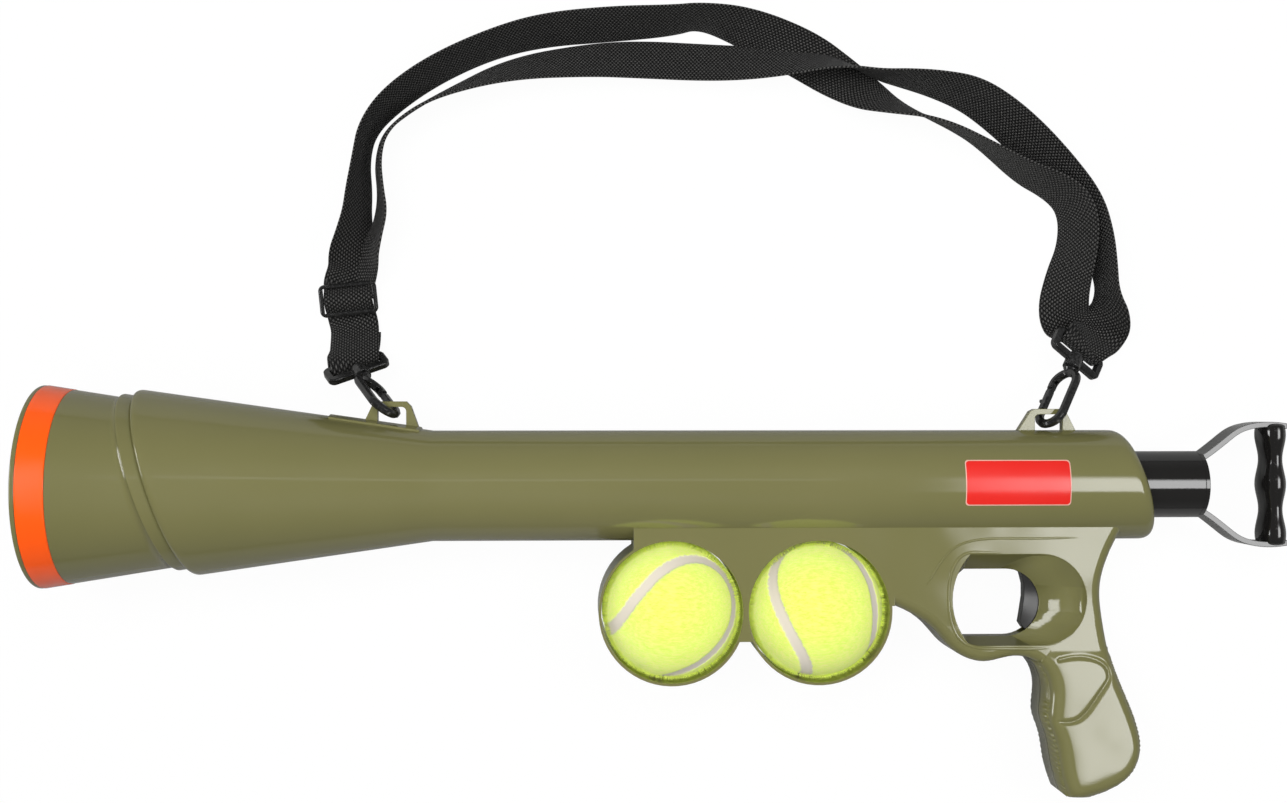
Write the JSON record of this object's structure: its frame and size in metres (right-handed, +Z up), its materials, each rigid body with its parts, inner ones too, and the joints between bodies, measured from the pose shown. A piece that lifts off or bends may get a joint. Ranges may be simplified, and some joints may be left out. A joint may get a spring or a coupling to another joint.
{
  "type": "tennis ball launcher",
  "caption": "Hand-held spring launcher for dog tennis balls: flared muzzle, pull handle, pistol grip with trigger, ball rings and a clip-on webbing strap.",
  "frame": {"origin": "centre of the launcher's own outline, without the strap's webbing and slider, on the surface that it lies on", "axes": "+X from the muzzle to the pull handle, +Y from the grip to the strap lugs, +Z up out of the left side of the body, which shows in the picture"},
  "size_m": [0.5915, 0.3797, 0.095],
  "materials": {
    "body_shell": "glossy olive green",
    "muzzle": "glossy olive green, ribbed mouth",
    "band": "orange ring round the mouth",
    "ball_felt": "yellow-green felt with pale seams",
    "plunger_skin": "glossy black",
    "works_plastic": "dark inner plastic",
    "pad_foam": "soft striker face",
    "screw_steel": "plain steel",
    "spring_steel": "bare spring wire",
    "handle_plastic": "glossy black",
    "grip_rubber": "black with low waves",
    "trigger_plastic": "glossy black",
    "hook_metal": "black plated, grey highlights",
    "webbing": "black plain-weave webbing",
    "slider_metal": "black frame"
  },
  "bodies": {
    "housing": {"left_body_half": "body_shell", "right_body_half": "body_shell", "muzzle_cup": "muzzle", "orange_muzzle_band": "band", "spring_seat_collar": "works_plastic", "rear_guide_bush": "works_plastic", "body_screws": "screw_steel", "trigger_pin": "screw_steel", "sear_pin": "screw_steel", "main_spring": "spring_steel", "trigger_return_spring": "spring_steel", "sear_spring": "spring_steel", "strap_outer_run": "webbing", "strap_inner_run": "webbing", "strap_slider": "slider_metal"},
    "plunger": {"plunger_tube": "plunger_skin", "striker_head": "works_plastic", "striker_pad": "pad_foam", "striker_screw": "screw_steel", "handle_yoke": "handle_plastic", "handle_grip": "grip_rubber", "handle_screw": "screw_steel"},
    "trigger": {"trigger": "trigger_plastic"},
    "sear": {"sear": "works_plastic"},
    "front_ball": {"front_ball": "ball_felt"},
    "rear_ball": {"rear_ball": "ball_felt"},
    "front_hook": {"front_hook_body": "hook_metal", "front_gate_pin": "hook_metal"},
    "front_gate": {"front_hook_gate": "hook_metal"},
    "front_swivel": {"front_swivel_base": "hook_metal"},
    "rear_hook": {"rear_hook_body": "hook_metal", "rear_gate_pin": "hook_metal"},
    "rear_gate": {"rear_hook_gate": "hook_metal"},
    "rear_swivel": {"rear_swivel_base": "hook_metal"}
  },
  "joints": [
    {"name": "plunger_slide", "type": "slide", "parent": "housing", "child": "plunger", "axis": [0.9991, 0, -0.0422], "range_m": [0, 0.15], "stiffness_N_per_m": 400, "springref_m": -0.02, "deforming": ["main_spring"]},
    {"name": "trigger_pull", "type": "hinge", "parent": "housing", "child": "trigger", "pos_m": [0.17586, 0.00067, 0.02795], "axis": [0.0422, 0.0082, 0.9991], "range_deg": [0, 9], "stiffness_Nm_per_rad": 0.6, "springref_deg": -2.86, "deforming": ["trigger_return_spring"]},
    {"name": "sear_tilt", "type": "hinge", "parent": "housing", "child": "sear", "pos_m": [0.16437, 0.00757, 0.02838], "axis": [0.0422, 0.0082, 0.9991], "range_deg": [0, 4.6], "deforming": ["sear_spring"]},
    {"name": "front_ball_lift", "type": "slide", "parent": "housing", "child": "front_ball", "axis": [0.0422, 0.0082, 0.9991], "range_m": [0, 0.05]},
    {"name": "rear_ball_lift", "type": "slide", "parent": "housing", "child": "rear_ball", "axis": [0.0422, 0.0082, 0.9991], "range_m": [0, 0.05]},
    {"name": "front_hook_swing", "type": "hinge", "parent": "housing", "child": "front_hook", "pos_m": [-0.13619, 0.07367, 0.04054], "axis": [0.9991, 0, -0.0422], "range_deg": [-20, 10], "deforming": ["strap_outer_run", "strap_inner_run"]},
    {"name": "front_gate_press", "type": "hinge", "parent": "front_hook", "child": "front_gate", "pos_m": [-0.13963, 0.07934, 0.02336], "axis": [-0.592, -0.7932, -0.1431], "range_deg": [0, 25], "stiffness_Nm_per_rad": 0.02, "springref_deg": -8.59},
    {"name": "front_swivel_turn", "type": "hinge", "parent": "front_hook", "child": "front_swivel", "pos_m": [-0.1354, 0.07299, 0.04106], "axis": [-0.4825, 0.491, -0.7254], "range_deg": [-45, 30], "deforming": ["strap_outer_run", "strap_inner_run"]},
    {"name": "rear_hook_swing", "type": "hinge", "parent": "housing", "child": "rear_hook", "pos_m": [0.18333, 0.07007, 0.02706], "axis": [0.9991, 0, -0.0422], "range_deg": [-35, 35], "deforming": ["strap_outer_run", "strap_inner_run"]},
    {"name": "rear_gate_press", "type": "hinge", "parent": "rear_hook", "child": "rear_gate", "pos_m": [0.18663, 0.08264, 0.01402], "axis": [-0.681, 0.6057, 0.4115], "range_deg": [0, 25], "stiffness_Nm_per_rad": 0.02, "springref_deg": -8.59},
    {"name": "rear_swivel_turn", "type": "hinge", "parent": "rear_hook", "child": "rear_swivel", "pos_m": [0.18261, 0.06916, 0.0272], "axis": [0.4463, 0.7888, -0.4226], "range_deg": [-30, 15], "deforming": ["strap_outer_run", "strap_inner_run"]}
  ],
  "couplings": [
    {"joint": "sear_tilt", "follows": "trigger_pull", "ratio": 0.5}
  ]
}
